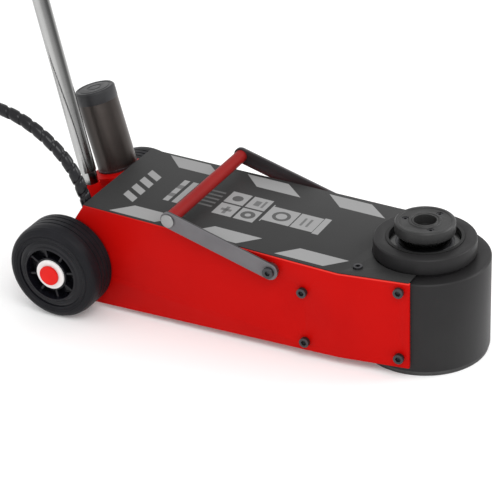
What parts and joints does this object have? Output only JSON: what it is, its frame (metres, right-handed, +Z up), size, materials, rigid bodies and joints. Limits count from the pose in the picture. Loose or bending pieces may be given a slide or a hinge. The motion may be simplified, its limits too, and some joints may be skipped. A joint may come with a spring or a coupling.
{
  "type": "air-hydraulic jack",
  "caption": "Low wheeled air-hydraulic lorry jack: upright two-stage ram in a black cylinder, red side plates, air motor, fold-over carry handle, tilting pull handle and air hose.",
  "frame": {"origin": "centre of the base foot's underside, on the lifting cylinder's axis, at floor level", "axes": "+Z up along the ram's travel, +X forward from the wheels to the cylinder, +Y to the left when looking forward"},
  "size_m": [1.144, 0.348, 1.1237],
  "materials": {
    "dark_steel": "dark, lightly worn turned steel",
    "black_paint": "satin black paint",
    "machined_steel": "turned steel",
    "seal_rubber": "black seal rubber",
    "red_paint": "semi-gloss red powder coat",
    "cover_grey": "dark grey panel with pale grey markings",
    "black_oxide": "black oxide fasteners",
    "tank_paint": "black painted tank",
    "zinc_steel": "zinc-plated steel",
    "brass": "turned brass",
    "bronze_anodised": "dark bronze anodised barrel",
    "motor_cap_black": "black cap",
    "cap_red": "red plastic cap",
    "hose_black": "black hose with a spiral wrap",
    "spring_steel": "oiled spring steel",
    "ram_steel": "hard-chromed ram",
    "saddle_black": "blackened saddle",
    "tyre_rubber": "solid black rubber",
    "hub_black": "glossy black nylon",
    "bush_white": "white acetal",
    "arm_zinc": "grey flat bar",
    "grip_red": "red coated tube",
    "chrome_tube": "polished tube",
    "head_black": "black control head",
    "grip_rubber": "ribbed hand grips",
    "lever_black": "black lever"
  },
  "bodies": {
    "chassis": {"base_foot": "dark_steel", "cylinder_body": "black_paint", "pressure_sleeve": "machined_steel", "gland_collar": "black_paint", "collar_wiper": "seal_rubber", "side_plate_right": "red_paint", "side_plate_left": "red_paint", "top_cover": "cover_grey", "bottom_plate": "red_paint", "rear_crossmember": "red_paint", "side_bolts": "black_oxide", "oil_reservoir": "tank_paint", "filler_plug": "black_oxide", "pressure_pipe": "zinc_steel", "pump_block": "black_oxide", "release_valve": "brass", "motor_bracket": "red_paint", "motor_base": "black_oxide", "motor_barrel": "bronze_anodised", "motor_cap": "motor_cap_black", "axle": "machined_steel", "axle_caps": "cap_red", "axle_spacers": "zinc_steel", "air_manifold": "zinc_steel", "air_pipe": "zinc_steel", "hose_fitting": "brass", "air_hose": "hose_black", "return_spring": "spring_steel", "piston_spring": "spring_steel", "pivot_bolts": "black_oxide", "pivot_spacers": "zinc_steel"},
    "stage1": {"stage1_tube": "ram_steel", "stage1_piston": "machined_steel", "stage1_gland": "black_oxide", "stop_sleeve": "machined_steel"},
    "stage2": {"stage2_ram": "ram_steel", "stage2_piston": "machined_steel", "saddle": "saddle_black", "saddle_screws": "black_oxide"},
    "wheel_right": {"tyre_right": "tyre_rubber", "hub_right": "hub_black", "bush_right": "bush_white"},
    "wheel_left": {"tyre_left": "tyre_rubber", "hub_left": "hub_black", "bush_left": "bush_white"},
    "carry_handle": {"carry_arm_right": "arm_zinc", "carry_arm_left": "arm_zinc", "grip_tube": "grip_red", "grip_bolts": "zinc_steel"},
    "pull_handle": {"handle_yoke": "red_paint", "handle_tube": "chrome_tube", "handle_ferrule": "chrome_tube", "control_head": "head_black", "cross_bar": "chrome_tube", "hand_grips": "grip_rubber", "hose_elbow": "brass", "lever_pins": "machined_steel"},
    "lift_lever": {"lift_lever": "lever_black"},
    "lower_lever": {"lower_lever": "lever_black"},
    "motor_piston": {"air_piston": "machined_steel"}
  },
  "joints": [
    {"name": "stage1_lift", "type": "slide", "parent": "chassis", "child": "stage1", "axis": [0, 0, 1], "range_m": [0, 0.138], "deforming": ["return_spring"]},
    {"name": "stage2_lift", "type": "slide", "parent": "stage1", "child": "stage2", "axis": [0, 0, 1], "range_m": [0, 0.086], "deforming": ["return_spring"]},
    {"name": "wheel_right_spin", "type": "hinge", "parent": "chassis", "child": "wheel_right", "pos_m": [-0.574, -0.143, 0.08], "axis": [0, 1, 0], "continuous": true},
    {"name": "wheel_left_spin", "type": "hinge", "parent": "chassis", "child": "wheel_left", "pos_m": [-0.574, 0.143, 0.08], "axis": [0, 1, 0], "continuous": true},
    {"name": "carry_handle_fold", "type": "hinge", "parent": "chassis", "child": "carry_handle", "pos_m": [-0.203, 0, 0.1445], "axis": [0, 1, 0], "range_deg": [0, 110]},
    {"name": "pull_handle_tilt", "type": "hinge", "parent": "chassis", "child": "pull_handle", "pos_m": [-0.574, 0, 0.08], "axis": [0, -1, 0], "range_deg": [0, 60], "deforming": ["air_hose"]},
    {"name": "lift_lever_press", "type": "hinge", "parent": "pull_handle", "child": "lift_lever", "pos_m": [-0.75786, 0.037, 1.09796], "axis": [-0.2062, 0, 0.9785], "range_deg": [0, 7], "stiffness_Nm_per_rad": 3, "springref_deg": -5.73},
    {"name": "lower_lever_press", "type": "hinge", "parent": "pull_handle", "child": "lower_lever", "pos_m": [-0.75786, -0.037, 1.09796], "axis": [0.2062, 0, -0.9785], "range_deg": [0, 7], "stiffness_Nm_per_rad": 3, "springref_deg": -5.73},
    {"name": "pump_stroke", "type": "slide", "parent": "chassis", "child": "motor_piston", "axis": [0.2436, 0, -0.9699], "range_m": [0, 0.045], "stiffness_N_per_m": 800, "springref_m": -0.02, "deforming": ["piston_spring"]}
  ]
}
